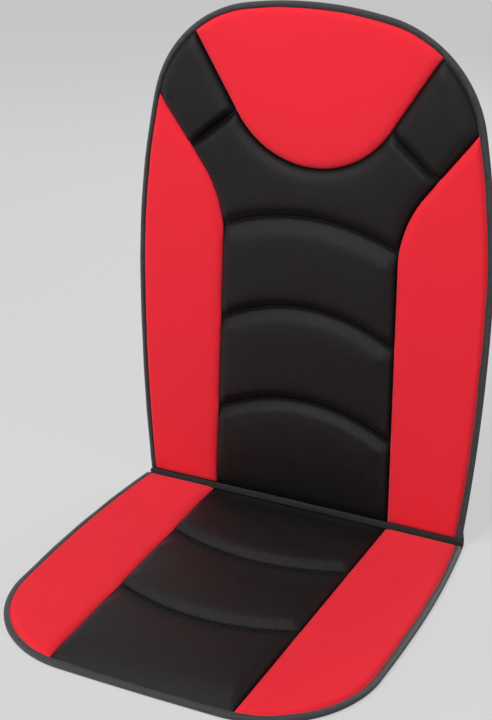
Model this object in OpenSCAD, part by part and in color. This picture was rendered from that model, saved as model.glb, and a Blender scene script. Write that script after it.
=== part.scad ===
// Padded two-panel seat cover: a back pad and a seat pad, bound round their edges
// and sewn to each other along a raised, bound fold that lets the back turn.
// X runs across the seat, to the right as seen from the front. -Y is the front, Z is up.
// Each pad is drawn flat: x across, v away from the fold, n up from the underside.

/* [Back pad] */
// Length of the back pad, from the fold to the top edge
back_length = 688; // [620:1:750]
// Greatest width of the back pad
back_width = 502; // [480:1:530]
// How much the back pad narrows to the fold, on each side
back_fold_taper = 17; // [8:0.5:30]
// Distance of the widest place from the fold
back_widest_at = 318; // [260:1:360]
// Radius of the side edge above the widest place
back_side_radius = 1150; // [1000:10:1600]
// Radius of the shoulder corner
back_corner_radius = 164; // [140:1:180]
// Radius of the top edge
back_top_radius = 520; // [420:10:900]
// How far the back leans behind upright
back_lean = 3; // [0:1:20]

/* [Seat pad] */
// Length of the seat pad, from the fold to the front edge
seat_length = 460; // [420:1:500]
// Greatest width of the seat pad
seat_width = 503; // [485:1:530]
// How much the seat pad narrows to the fold, on each side
seat_fold_taper = 13.5; // [6:0.5:30]
// Distance of the widest place from the fold
seat_widest_at = 208; // [170:1:250]
// Radius of the side edge in front of the widest place
seat_side_radius = 2400; // [1500:50:4000]
// Radius of the front corner
seat_corner_radius = 147; // [120:1:165]
// Radius of the front edge
seat_front_radius = 6000; // [2500:100:12000]

/* [Back panels] */
// Distance of the side seam from the middle, at the fold
back_seam_foot = 129.5; // [115:0.5:140]
// Distance of the side seam from the middle, at its waist
back_seam_waist = 123.5; // [110:0.5:135]
// How far below the side panel's tip the side seam starts to turn out
back_seam_turn_drop = 181; // [165:1:200]
// Radius of that turn
back_seam_radius = 160; // [120:1:180]
// Height of the head panel, from its lowest point to the top edge
head_height = 209; // [190:1:222]
// Radius of the head panel's lower edge
head_radius = 123; // [100:1:140]
// Place of the head panel's corner on the shoulder corner, in degrees above level
head_corner_angle = 50; // [40:1:65]
// Depth of the yoke, from the head panel's lowest point to the ends of the top arch
yoke_depth = 94; // [70:1:105]
// Cells of the lumbar panel, one above the other
lumbar_cells = 3; // [2:1:4]
// How much higher an upper lumbar cell is than an even share
upper_cell_gain = 4.6; // [0:0.1:8]
// How far the top arch rises in the middle
arch_rise = 27; // [10:1:34]
// How far the other arches rise in the middle
lumbar_rise = 35.5; // [10:0.5:40]
// How far below the side panel's tip the shoulder quilt line meets the side seam
shoulder_line_drop = 63; // [45:1:75]
// Distance of the shoulder quilt line from the middle, at the head panel
shoulder_line_top = 107; // [90:1:120]

/* [Seat panels] */
// Distance of the side seam from the middle, at the fold
seat_seam_foot = 130; // [115:0.5:140]
// Distance of the side seam from the middle, at the front
seat_seam_front = 122; // [110:0.5:135]
// Distance of the rear channel from the fold, at its ends
channel_rear_at = 128; // [105:1:140]
// Distance of the front channel from the fold, at its ends
channel_front_at = 276; // [240:1:300]
// How far a channel bows to the front in the middle
channel_bow = 28; // [10:1:36]

/* [Layers] */
// Thickness of the lining on the underside
lining_thickness = 1; // [0.5:0.1:2]
// Thickness of the foam sheet
foam_thickness = 3.5; // [2:0.1:6]
// Thickness of a face panel at its seams, where it is pressed flat
panel_rim = 1.2; // [0.8:0.1:2]
// How far a red panel swells above its seams
red_crown = 4.5; // [2:0.1:6]
// How far a black cell swells above its seams
black_crown = 7.5; // [3:0.1:9]

/* [Binding and fold] */
// Thickness of the binding tape
tape_thickness = 0.9; // [0.5:0.1:1.5]
// How far the tape reaches over the face and over the underside
tape_reach = 8; // [6:0.5:12]
// Diameter of the bound ridge along the fold
ridge_diameter = 9; // [6:0.5:12]
// Height of the ridge's middle above the pressed rims of the panels
ridge_rise = 3.4; // [1:0.1:4]

/* [Straps] */
// Width of an elastic strap
strap_width = 30; // [15:1:45]
// Thickness of an elastic strap, pressed flush into the lining
strap_thickness = 1; // [0.6:0.1:1.2]
// Distance of the lower strap from the fold
strap_lower_at = 190; // [120:1:280]
// Distance of the upper strap from the fold
strap_upper_at = 470; // [330:1:520]

/* [Clearances] */
// Gap between two panels along a seam
seam_gap = 0.4; // [0.3:0.05:0.8]
// Gap between the tape and the edges that it covers
tape_gap = 0.4; // [0.3:0.05:0.6]
// Gap between the ridge and the pads that turn about it
fold_gap = 0.3; // [0.2:0.05:0.8]
// Gap between a strap and the lining along its edges
strap_gap = 0.3; // [0.2:0.05:0.6]

/* [Hidden] */

red = [0.88, 0.17, 0.22];
black = [0.16, 0.15, 0.15];
tape_grey = [0.23, 0.22, 0.22];
lining_grey = [0.12, 0.12, 0.13];
foam_grey = [0.55, 0.55, 0.57];

// Levels above the underside
lining_top = tape_thickness + lining_thickness;
panel_base = lining_top + foam_thickness;
rim_top = panel_base + panel_rim;
tape_top = rim_top + tape_thickness;

// Distances in from the outer edge
edge_inset = tape_thickness + tape_gap;
face_inset = tape_reach + tape_gap;

// Middle of the ridge, and the nearest that a solid of a given height may come to it
ridge_height = rim_top + ridge_rise;
ridge_clear = ridge_diameter / 2 + fold_gap;
function fold_start(top) = sqrt(max(1, ridge_clear ^ 2 - max(0, ridge_height - top) ^ 2));
pad_start = fold_start(rim_top);
tape_start = fold_start(tape_top);

// Points along one arc of an edge, and cells across one panel
ARC_STEPS = [6, 6, 12, 7];
CELLS_ACROSS = 12;
CELLS_SIDE = 7;
CELLS_ALONG = 8;

// Edge of a pad as four arcs of one half: [middle, radius, last angle] from the fold to the far end.
// The corner arc touches the side arc and the end arc, so its middle is where two circles cross.
function edge_arcs(width, taper, widest_at, side_r, corner_r, end_r, length) =
    let (
        half = width / 2,
        low_r = (widest_at ^ 2 + taper ^ 2) / (2 * taper),
        side_c = [half - side_r, widest_at],
        end_c = [0, length - end_r],
        a = side_r - corner_r,
        b = end_r - corner_r,
        span = end_c - side_c,
        d = norm(span),
        along = (a ^ 2 - b ^ 2 + d ^ 2) / (2 * d),
        up = sqrt(a ^ 2 - along ^ 2),
        corner_c = side_c + along * span / d + up * [-span.y, span.x] / d,
        side_to_corner = corner_c - side_c,
        end_to_corner = corner_c - end_c
    )
    [
        [[half - low_r, widest_at], low_r, 0],
        [side_c, side_r, atan2(side_to_corner.y, side_to_corner.x)],
        [corner_c, corner_r, atan2(end_to_corner.y, end_to_corner.x)],
        [end_c, end_r, 90]
    ];

back_arcs = edge_arcs(back_width, back_fold_taper, back_widest_at, back_side_radius,
    back_corner_radius, back_top_radius, back_length);
seat_arcs = edge_arcs(seat_width, seat_fold_taper, seat_widest_at, seat_side_radius,
    seat_corner_radius, seat_front_radius, seat_length);

function on_arc(arc, angle, inset) = arc[0] + (arc[1] - inset) * [cos(angle), sin(angle)];
function arc_end_v(arc, inset) = on_arc(arc, arc[2], inset).y;

// The arc that holds the edge at distance v from the fold
function arc_at(arcs, v, inset, i = 0) =
    i == 3 || v <= arc_end_v(arcs[i], inset) ? arcs[i] : arc_at(arcs, v, inset, i + 1);

// Half width of the edge at v, and the edge's far end at x
function edge_x(arcs, v, inset) =
    let (arc = arc_at(arcs, v, inset), r = arc[1] - inset, rise = v - arc[0].y)
    arc[0].x + sqrt(max(0, r ^ 2 - rise ^ 2));
function arc_over(arcs, x, inset) = abs(x) <= on_arc(arcs[2], arcs[2][2], inset).x ? arcs[3] : arcs[2];
function edge_v(arcs, x, inset) =
    let (arc = arc_over(arcs, x, inset), r = arc[1] - inset)
    arc[0].y + sqrt(r ^ 2 - (abs(x) - arc[0].x) ^ 2);

// A point of the face edge moved out square to the edge, to lie under the tape and clear of the ridge
function under_tape(arc, p) =
    let (
        right = [abs(p.x), p.y],
        out = (right - arc[0]) / norm(right - arc[0]),
        hem = right + (face_inset - edge_inset) * out
    )
    [p.x < 0 ? -hem.x : hem.x, max(pad_start, hem.y)];

// Right half of an edge from the fold to its far end, then the whole edge
function half_edge(arcs, inset, start) = [
    for (i = [0 : 3])
        let (
            arc = arcs[i],
            first = i == 0 ? -asin((arc[0].y - start) / (arc[1] - inset)) : arcs[i - 1][2]
        )
        for (k = [(i == 0 ? 0 : 1) : ARC_STEPS[i]])
            on_arc(arc, first + (arc[2] - first) * k / ARC_STEPS[i], inset)
];
function mirrored(points) = [for (i = [len(points) - 1 : -1 : 0]) [-points[i].x, points[i].y]];
function whole_edge(arcs, inset, start) =
    let (right = half_edge(arcs, inset, start), left = mirrored(right))
    concat(right, [for (i = [1 : len(left) - 1]) left[i]]);

// Shares of a span, closer together at both ends, and the swell between two seams
function eased(i, count) = (1 - cos(180 * i / count)) / 2;
function swell(share) = sqrt(max(0, 1 - (2 * share - 1) ^ 4));
function mix(a, b, share) = a + (b - a) * share;
function reversed(list) = [for (i = [len(list) - 1 : -1 : 0]) list[i]];

// Closed solid over a grid of [x, v, height] points, flat on the foam
module padded_sheet(grid) {
    rows = len(grid);
    cols = len(grid[0]);
    count = rows * cols;
    function id(r, c) = r * cols + c;
    top = [for (row = grid) for (p = row) [p.x, p.y, panel_base + p.z]];
    bottom = [for (p = top) [p.x, p.y, panel_base]];
    border = concat(
        [for (c = [0 : cols - 2]) id(0, c)],
        [for (r = [0 : rows - 2]) id(r, cols - 1)],
        [for (c = [cols - 1 : -1 : 1]) id(rows - 1, c)],
        [for (r = [rows - 1 : -1 : 1]) id(r, 0)]
    );
    edge_count = len(border);
    faces = concat(
        [for (r = [0 : rows - 2]) for (c = [0 : cols - 2]) [id(r, c), id(r + 1, c), id(r + 1, c + 1)]],
        [for (r = [0 : rows - 2]) for (c = [0 : cols - 2]) [id(r, c), id(r + 1, c + 1), id(r, c + 1)]],
        [for (r = [0 : rows - 2]) for (c = [0 : cols - 2])
            [count + id(r, c), count + id(r + 1, c + 1), count + id(r + 1, c)]],
        [for (r = [0 : rows - 2]) for (c = [0 : cols - 2])
            [count + id(r, c), count + id(r, c + 1), count + id(r + 1, c + 1)]],
        [for (k = [0 : edge_count - 1])
            [border[k], border[(k + 1) % edge_count], count + border[(k + 1) % edge_count]]],
        [for (k = [0 : edge_count - 1])
            [border[k], count + border[(k + 1) % edge_count], count + border[k]]]
    );
    polyhedron(points = concat(top, bottom), faces = faces, convexity = 8);
}

// Places of the two pads: the back turns about the ridge, the seat lies flat
fold_y = seat_length / 2;
module on_back() {
    translate([0, fold_y, ridge_height])
        rotate([90 - back_lean, 0, 0])
            translate([0, 0, -ridge_height])
                children();
}
module on_seat() {
    translate([0, fold_y, 0])
        rotate([0, 0, 180])
            children();
}

// Side seam of the back: a tapered straight, an arc turning out, then a line to the panel's tip
back_tip = on_arc(back_arcs[1], back_arcs[1][2], face_inset);
back_seam_turn_at = back_tip.y - back_seam_turn_drop;
turn_middle = [back_seam_waist + back_seam_radius, back_seam_turn_at];
tip_reach = back_tip - turn_middle;
turn_last = atan2(tip_reach.y, tip_reach.x) + acos(back_seam_radius / norm(tip_reach));
turn_end = turn_middle + back_seam_radius * [cos(turn_last), sin(turn_last)];
function back_seam_x(v) =
    v <= back_seam_turn_at ? mix(back_seam_foot, back_seam_waist, v / back_seam_turn_at) :
    v <= turn_end.y ? turn_middle.x - sqrt(back_seam_radius ^ 2 - (v - back_seam_turn_at) ^ 2) :
    mix(turn_end.x, back_tip.x, (v - turn_end.y) / (back_tip.y - turn_end.y));

// Lower edge of the head panel: an arc and a straight line to each corner, moved out square to itself
head_corner = on_arc(back_arcs[2], head_corner_angle, face_inset);
head_bottom_at = back_length - head_height;
head_middle = [0, head_bottom_at + head_radius];
head_reach = head_corner - head_middle;
head_last = atan2(head_reach.y, head_reach.x) - acos(head_radius / norm(head_reach));
head_turn = head_middle + head_radius * [cos(head_last), sin(head_last)];
function head_edge_v(x, out) =
    let (shift = out * [cos(head_last), sin(head_last)], first = head_turn + shift, last = head_corner + shift)
    abs(x) <= first.x ? head_middle.y - sqrt((head_radius + out) ^ 2 - x ^ 2) :
    mix(first.y, last.y, (abs(x) - first.x) / (last.x - first.x));

// Side seam of the seat, straight from the fold to the front
function seat_seam_x(v) = mix(seat_seam_foot, seat_seam_front, v / seat_length);

// A quilted line across a panel, bowed away from the fold in the middle
function bowed(at, bow, x, half) = at + bow * (1 - (x / half) ^ 2);
yoke_at = head_bottom_at - yoke_depth;
shoulder_line_at = back_tip.y - shoulder_line_drop;

module back_head_panel() {
    // The panel stops short of its two sharp corners
    blunt = 3;
    half = head_corner.x - blunt;
    count = 2 * CELLS_ACROSS;
    columns = [for (i = [0 : count]) half * sin(-90 + 180 * i / count)];
    function low(x) = head_edge_v(x, -seam_gap / 2);
    function high(x) = edge_v(back_arcs, x, face_inset);
    face = [for (k = [0 : CELLS_ALONG]) [for (x = columns)
        [x, mix(low(x), high(x), eased(k, CELLS_ALONG)),
            panel_rim + red_crown * swell(eased(k, CELLS_ALONG)) * swell((x + half) / (2 * half))]]];
    hem = [for (x = columns)
        let (p = under_tape(arc_over(back_arcs, x, face_inset), [x, high(x)])) [p.x, p.y, panel_rim]];
    color(red) on_back() padded_sheet(reversed(concat(face, [hem])));
}

module back_yoke_panel() {
    // Right half of the lower edge: along the top arch, up the side seam to the shoulder line, on to the tip
    half = back_seam_x(yoke_at) - seam_gap / 2;
    steps = 5;
    fan = shoulder_line_top / 2;
    seam_levels = concat(
        [for (i = [1 : steps]) mix(yoke_at, shoulder_line_at, i / steps)],
        [for (i = [1 : steps]) mix(shoulder_line_at, back_tip.y, i / steps)]
    );
    lower_right = concat(
        [for (i = [0 : steps])
            let (x = half * i / steps) [x, bowed(yoke_at, arch_rise, x, half) + seam_gap / 2]],
        [for (v = seam_levels) [back_seam_x(v) - seam_gap / 2, v]]
    );
    upper_x = concat(
        [for (i = [0 : steps]) fan * i / steps],
        [for (i = [1 : steps]) mix(fan, shoulder_line_top, i / steps)],
        [for (i = [1 : steps]) mix(shoulder_line_top, head_corner.x, i / steps)]
    );
    upper_right = [for (x = upper_x) [x, head_edge_v(x, seam_gap / 2)]];
    last = 3 * steps;
    // The arm's end follows the shoulder corner, so the last columns are bent out to it
    function arm_end(share) = on_arc(back_arcs[2], mix(back_arcs[1][2], head_corner_angle, share), face_inset);
    function bend(share) = arm_end(share) - mix(arm_end(0), arm_end(1), share);
    function arm_share(i) = max(0, (i - 2 * steps) / steps);
    function place(i, share) = mix(lower_right[i], upper_right[i], share) + bend(share) * arm_share(i);
    function cell_swell(i) = i <= 2 * steps ? swell(0.5 + i / (4 * steps)) : swell(arm_share(i));
    function column(i, side) = [for (k = [0 : CELLS_ALONG])
        let (share = eased(k, CELLS_ALONG), p = place(i, share))
        [side * p.x, p.y, panel_rim + black_crown * swell(share) * cell_swell(i)]];
    function hem(side) = [for (k = [0 : CELLS_ALONG])
        let (p = under_tape(back_arcs[2], place(last, eased(k, CELLS_ALONG)))) [side * p.x, p.y, panel_rim]];
    columns = concat(
        [hem(-1)],
        [for (i = [last : -1 : 1]) column(i, -1)],
        [for (i = [0 : last]) column(i, 1)],
        [hem(1)]
    );
    color(black) on_back() padded_sheet(columns);
}

// Quilted panel between two side seams: rows of cells between bowed lines, swollen in each cell,
// and past the last line a flat hem
module quilted_panel(lines, half_at, hem = 0) {
    cells = len(lines) - 1;
    columns = [for (c = [0 : CELLS_ACROSS]) eased(c, CELLS_ACROSS)];
    function line_v(line, share) = bowed(line[0], line[1], 2 * share - 1, 1);
    function point(cell, along, share) =
        let (
            seam_v = mix(lines[cell][0], lines[cell + 1][0], along),
            v = mix(line_v(lines[cell], share), line_v(lines[cell + 1], share), along)
        )
        [(2 * share - 1) * half_at(seam_v), v, panel_rim + black_crown * swell(along) * swell(share)];
    rows = [for (cell = [0 : cells - 1]) for (k = [(cell == 0 ? 0 : 1) : CELLS_ALONG])
        [for (share = columns) point(cell, eased(k, CELLS_ALONG), share)]];
    hem_rows = [for (reach = hem > 0 ? [hem] : [])
        [for (p = rows[len(rows) - 1]) [p.x, p.y + reach, panel_rim]]];
    padded_sheet(reversed(concat(rows, hem_rows)));
}

module back_lumbar_panel() {
    lines = concat(
        [[pad_start, 0]],
        [for (i = [1 : lumbar_cells - 1])
            [yoke_at * i / lumbar_cells - upper_cell_gain * (lumbar_cells - i), lumbar_rise]],
        [[yoke_at - seam_gap / 2, arch_rise]]
    );
    color(black) on_back() quilted_panel(lines, function (v) back_seam_x(v) - seam_gap / 2);
}

module seat_centre_panel() {
    front_at = edge_v(seat_arcs, seat_seam_front, face_inset);
    lines = [
        [pad_start, 0],
        [channel_rear_at, channel_bow],
        [channel_front_at, channel_bow],
        [front_at, seat_length - face_inset - front_at]
    ];
    hem = face_inset - edge_inset;
    color(black) on_seat() quilted_panel(lines, function (v) seat_seam_x(v) - seam_gap / 2, hem);
}

// Side panel between a seam and the pad's edge, as rows from the fold to the far end
module side_panel(arcs, levels, seam_at, side) {
    count = len(levels) - 1;
    function row(i) =
        let (
            v = levels[i],
            inner = seam_at(v) + seam_gap / 2,
            outer = edge_x(arcs, v, face_inset),
            hem = under_tape(arc_at(arcs, v, face_inset), [outer, v]),
            face = [for (c = [0 : CELLS_SIDE])
                let (share = eased(c, CELLS_SIDE))
                [side * mix(inner, outer, share), v, panel_rim + red_crown * swell(share) * swell(i / count)]],
            whole = concat(face, [[side * hem.x, hem.y, panel_rim]])
        )
        side > 0 ? whole : reversed(whole);
    padded_sheet([for (i = [count : -1 : 0]) row(i)]);
}

module back_side_panel(side) {
    blunt = 4;
    last = back_tip.y - blunt;
    count = 4 * CELLS_ALONG;
    levels = [for (i = [0 : count]) mix(pad_start, last, eased(i, count))];
    side_panel(back_arcs, levels, function (v) back_seam_x(v), side);
}

module seat_side_panel(side) {
    blunt = 3;
    count = 2 * CELLS_ALONG;
    last = edge_v(seat_arcs, seat_seam_front + blunt, face_inset);
    levels = [for (i = [0 : count]) mix(pad_start, last, sin(90 * i / count))];
    side_panel(seat_arcs, levels, function (v) seat_seam_x(v), side);
}

module back_left_panel() {
    color(red) on_back() back_side_panel(-1);
}

module back_right_panel() {
    color(red) on_back() back_side_panel(1);
}

module seat_left_panel() {
    color(red) on_seat() seat_side_panel(1);
}

module seat_right_panel() {
    color(red) on_seat() seat_side_panel(-1);
}

// Flat layer of a pad between two levels
module layer(arcs, inset, low, high) {
    translate([0, 0, low])
        linear_extrude(height = high - low)
            polygon(whole_edge(arcs, inset, pad_start));
}

module foam_sheet(arcs) {
    layer(arcs, edge_inset, lining_top, panel_base);
}

// The lining is flush with the tape that wraps its rim
module lining(arcs) {
    union() {
        layer(arcs, face_inset, 0, tape_thickness);
        layer(arcs, edge_inset, tape_thickness, lining_top);
    }
}

// Tape folded round the edge: a strip over the underside, the wall and a strip over the face
module edge_binding(arcs) {
    strips = [
        [0, tape_thickness, tape_reach],
        [tape_thickness, rim_top, tape_thickness],
        [rim_top, tape_top, tape_reach]
    ];
    union()
        for (strip = strips)
            translate([0, 0, strip[0]])
                linear_extrude(height = strip[1] - strip[0])
                    polygon(concat(
                        whole_edge(arcs, 0, tape_start),
                        reversed(whole_edge(arcs, strip[2], tape_start))
                    ));
}

module back_foam_sheet() {
    color(foam_grey) on_back() foam_sheet(back_arcs);
}

module seat_foam_sheet() {
    color(foam_grey) on_seat() foam_sheet(seat_arcs);
}

module back_lining() {
    color(lining_grey)
        on_back()
            difference() {
                lining(back_arcs);
                for (at = [strap_lower_at, strap_upper_at])
                    strap_recess(at);
            }
}

module seat_lining() {
    color(lining_grey) on_seat() lining(seat_arcs);
}

module back_edge_binding() {
    color(tape_grey) on_back() edge_binding(back_arcs);
}

module seat_edge_binding() {
    color(tape_grey) on_seat() edge_binding(seat_arcs);
}

// Elastic strap across the rear of the back pad, from one tape to the other
module strap(at) {
    low = at - strap_width / 2;
    high = at + strap_width / 2;
    inset = face_inset + strap_gap;
    color(black)
        on_back()
            linear_extrude(height = strap_thickness)
                polygon([
                    [edge_x(back_arcs, low, inset), low],
                    [edge_x(back_arcs, high, inset), high],
                    [-edge_x(back_arcs, high, inset), high],
                    [-edge_x(back_arcs, low, inset), low]
                ]);
}

// Trough that the strap presses into the lining, open at both ends
module strap_recess(at) {
    width = strap_width + 2 * strap_gap;
    translate([-back_width / 2, at - width / 2, -strap_thickness])
        cube([back_width, width, 2 * strap_thickness]);
}

module upper_strap() {
    strap(strap_upper_at);
}

module lower_strap() {
    strap(strap_lower_at);
}

// Tape wrapped round the joined edges of both pads, round, on the line that the back turns about
module fold_binding() {
    ridge_length = max(back_width - 2 * back_fold_taper, seat_width - 2 * seat_fold_taper);
    color(tape_grey)
        translate([-ridge_length / 2, fold_y, ridge_height])
            rotate([0, 90, 0])
                cylinder(d = ridge_diameter, h = ridge_length, $fn = 48);
}

back_head_panel();
back_yoke_panel();
back_lumbar_panel();
back_left_panel();
back_right_panel();
back_foam_sheet();
back_lining();
back_edge_binding();
upper_strap();
lower_strap();
seat_centre_panel();
seat_left_panel();
seat_right_panel();
seat_foam_sheet();
seat_lining();
seat_edge_binding();
fold_binding();
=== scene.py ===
from math import acos, asin, atan2, ceil, cos, hypot, pi, radians, sin, sqrt

import bpy
import numpy as np
from mathutils import Matrix, Vector
from mathutils.geometry import delaunay_2d_cdt
from mathutils.kdtree import KDTree


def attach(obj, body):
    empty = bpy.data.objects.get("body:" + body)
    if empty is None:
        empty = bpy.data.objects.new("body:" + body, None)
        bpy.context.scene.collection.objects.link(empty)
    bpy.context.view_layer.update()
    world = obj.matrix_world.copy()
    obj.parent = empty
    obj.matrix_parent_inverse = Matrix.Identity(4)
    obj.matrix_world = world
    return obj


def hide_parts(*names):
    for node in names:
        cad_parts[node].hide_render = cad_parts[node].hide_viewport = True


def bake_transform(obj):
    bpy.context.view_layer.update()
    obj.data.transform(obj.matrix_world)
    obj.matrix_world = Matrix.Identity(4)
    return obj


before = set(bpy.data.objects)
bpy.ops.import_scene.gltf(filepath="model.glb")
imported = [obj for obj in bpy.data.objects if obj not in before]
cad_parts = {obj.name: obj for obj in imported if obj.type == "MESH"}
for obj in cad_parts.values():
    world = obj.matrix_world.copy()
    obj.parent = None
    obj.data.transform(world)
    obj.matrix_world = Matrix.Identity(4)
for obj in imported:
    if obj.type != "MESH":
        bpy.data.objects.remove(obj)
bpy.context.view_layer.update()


# Seat lining: one piece of thin black non-woven cloth under the whole seat pad. It is cut to the
# pad's outline, caught in the edge binding all round, and drawn up where the quilting goes through.
# Both pads are drawn flat: x across, v away from the fold, n up from the underside, in metres.
MM = 0.001
fold_y = 0.230
fold_z = 0.010
pad_start = 3.39 * MM
tape_cover = 8.4 * MM
cut_inset = 2.2 * MM
seat_length = 460 * MM


def edge_arcs(width, taper, widest_at, side_r, corner_r, end_r, length):
    """Right half of a pad's edge as four arcs that touch: (middle, radius, last angle) each."""
    half = width / 2
    low_r = (widest_at**2 + taper**2) / (2 * taper)
    side_c = np.array([half - side_r, widest_at])
    end_c = np.array([0.0, length - end_r])
    a, b, span = side_r - corner_r, end_r - corner_r, end_c - side_c
    d = hypot(*span)
    along = (a * a - b * b + d * d) / (2 * d)
    square = np.array([-span[1], span[0]])
    corner_c = side_c + (along * span + sqrt(a * a - along * along) * square) / d
    side_turn, end_turn = corner_c - side_c, corner_c - end_c
    return [
        (np.array([half - low_r, widest_at]), low_r, 0.0),
        (side_c, side_r, atan2(side_turn[1], side_turn[0])),
        (corner_c, corner_r, atan2(end_turn[1], end_turn[0])),
        (end_c, end_r, pi / 2),
    ]


def run_along(line):
    """Distance along a line at each of its points."""
    return np.concatenate([[0], np.cumsum(np.linalg.norm(np.diff(line, axis=0), axis=1))])


def heading(line):
    """Direction of a line at each of its points."""
    run = np.gradient(line, axis=0)
    return run / np.linalg.norm(run, axis=1)[:, None]


def square_to(line):
    """Direction square to a flat line, to its left, at each of its points."""
    run = heading(line)
    return np.stack([-run[:, 1], run[:, 0]], 1)


def evenly(line, step):
    """The same line with its points an even distance apart."""
    run = run_along(line)
    at = np.linspace(0, run[-1], max(2, ceil(run[-1] / step)) + 1)
    return np.stack([np.interp(at, run, line[:, k]) for k in range(line.shape[1])], 1)


def pad_edge(arcs, inset, start, step):
    """A pad's edge moved in by inset, from the right end of the fold over the far end to the left."""
    first = -asin((arcs[0][0][1] - start) / (arcs[0][1] - inset))
    right = []
    for middle, radius, last in arcs:
        turn = np.linspace(first, last, 200)
        right.append(middle + (radius - inset) * np.stack([np.cos(turn), np.sin(turn)], 1))
        first = last
    right = np.concatenate(right)
    return evenly(np.concatenate([right, right[-2::-1] * [-1, 1]]), step)


def on_seat(p):
    return np.stack([-p[:, 0], fold_y - p[:, 1], p[:, 2]], 1)


def near(points, *lines):
    """Distance of each point from the nearest of some lines, and how far past it, away from the fold."""
    parts = 6
    spots = []
    for line in lines:
        share = np.arange(parts)[:, None, None] / parts
        between = line[:-1] + share * (line[1:] - line[:-1])
        spots += between.reshape(-1, 2).tolist() + [line[-1].tolist()]
    tree = KDTree(len(spots))
    for i, spot in enumerate(spots):
        tree.insert((spot[0], spot[1], 0), i)
    tree.balance()
    found = [tree.find((x, v, 0)) for x, v in points.tolist()]
    return np.array([f[2] for f in found]), points[:, 1] - np.array([f[0].y for f in found])


def to_line(points, *lines):
    return near(points, *lines)[0]


def inside(points, border):
    """Which points lie inside a closed border."""
    found = np.zeros(len(points), bool)
    for a, b in zip(border, np.roll(border, -1, 0)):
        if a[1] != b[1]:
            crosses = (a[1] > points[:, 1]) != (b[1] > points[:, 1])
            at = a[0] + (points[:, 1] - a[1]) * (b[0] - a[0]) / (b[1] - a[1])
            found ^= crosses & (points[:, 0] < at)
    return found


def grid_of(low, high, step):
    """Points over a rectangle, every other row moved by half a step."""
    rows = np.arange(low[1], high[1], step * 0.866)
    columns = np.arange(low[0], high[0], step)
    return np.array([[x + step / 2 * (i % 2), v] for i, v in enumerate(rows) for x in columns])


def cut_cloth(border, lines, fine, coarse, band):
    """A flat cut of cloth as triangles, finer in a band along its border and its sewn lines."""
    beside = 0.9 * MM
    spacing = np.linalg.norm(border[1] - border[0])
    border = np.concatenate([border, evenly(np.stack([border[-1], border[0]]), spacing)[1:-1]])
    low, high = border.min(0), border.max(0)
    ring = np.concatenate([border, border[:1]])
    on_lines, edges = [border], [[i, (i + 1) % len(border)] for i in range(len(border))]
    count = len(border)
    for line in lines:
        kept = line[inside(line, border) & (to_line(line, ring) > 0.3 * fine)]
        edges += [[count + i, count + i + 1] for i in range(len(kept) - 1)]
        on_lines.append(kept)
        count += len(kept)
    sewn = [ring] + [k for k in on_lines[1:] if len(k) > 1]
    rows = []
    for line in sewn:
        aside = beside * square_to(line)
        rows += [line + aside, line - aside]
    rows = np.concatenate(rows)
    close, wide = grid_of(low, high, fine), grid_of(low, high, coarse)
    loose = np.concatenate([close, wide])
    is_fine = np.arange(len(loose)) < len(close)
    within = inside(loose, border)
    loose, is_fine = loose[within], is_fine[within]
    away = to_line(loose, *sewn)
    loose = loose[np.where(is_fine, (away > 2 * beside) & (away < band), away > band + 0.4 * fine)]
    rows = rows[inside(rows, border)]
    rows = rows[to_line(rows, *sewn) > 0.85 * beside]
    points = np.concatenate(on_lines + [rows, loose])
    made = delaunay_2d_cdt([Vector(p) for p in points], edges, [list(range(len(border)))], 1, 1e-6)
    return np.array([list(p) for p in made[0]]), np.array([list(f) for f in made[2]])


def open_edges(faces):
    """Closed runs of the edges that only one triangle has, each a list of point numbers."""
    sides = {(f[i], f[(i + 1) % 3]) for f in faces.tolist() for i in range(3)}
    after = {}
    for a, b in sides:
        if (b, a) not in sides:
            after.setdefault(a, []).append(b)
    runs = []
    while after:
        first = min(after)
        run, at = [first], after[first].pop()
        while at != first:
            run.append(at)
            at = after[at].pop()
        after = {a: b for a, b in after.items() if b}
        runs.append(run)
    return runs


def piece(name, points, faces, place, uv, material):
    """A mesh object in the shared frame. uv holds each point's place on the cloth, in metres."""
    mesh = bpy.data.meshes.new(name)
    mesh.from_pydata(place(np.asarray(points, float)).tolist(), [], faces)
    layer = mesh.uv_layers.new(name="cloth")
    corner = np.zeros(len(mesh.loops), np.int32)
    mesh.loops.foreach_get("vertex_index", corner)
    layer.uv.foreach_set("vector", np.asarray(uv, np.float32)[corner].ravel())
    mesh.polygons.foreach_set("use_smooth", [True] * len(mesh.polygons))
    mesh.materials.append(material)
    mesh.update()
    made = bpy.data.objects.new(name, mesh)
    bpy.context.scene.collection.objects.link(made)
    return made


def layered(flat, faces, low, high):
    """Closed solid over a flat cut: its points at the low and the high level, and all its faces."""
    count = len(flat)
    points = np.concatenate([np.column_stack([flat, high]), np.column_stack([flat, low])])
    under = (faces[:, ::-1] + count).tolist()
    walls = [
        [b, a, a + count, b + count]
        for run in open_edges(faces)
        for a, b in zip(run, run[1:] + run[:1])
    ]
    return points, faces.tolist() + under + walls


def cloth_nodes(name, roughness, specular, sheen, sheen_roughness, sheen_tint=(1, 1, 1, 1)):
    """A new material and a function that adds one node to it with its settings and links."""
    material = bpy.data.materials.new(name)
    material.use_nodes = True
    tree = material.node_tree
    tree.nodes.clear()

    def add(kind, links=(), **settings):
        node = tree.nodes.new(kind)
        for key, value in settings.items():
            setattr(node, key, value)
        for socket, value in dict(links).items():
            if isinstance(value, bpy.types.NodeSocket):
                tree.links.new(value, node.inputs[socket])
            else:
                node.inputs[socket].default_value = value
        return node

    surface = add("ShaderNodeBsdfPrincipled", {
        "Roughness": roughness,
        "Specular IOR Level": specular,
        "Sheen Weight": sheen,
        "Sheen Roughness": sheen_roughness,
        "Sheen Tint": sheen_tint,
    })
    add("ShaderNodeOutputMaterial", {"Surface": surface.outputs[0]})
    return material, add, surface


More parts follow.
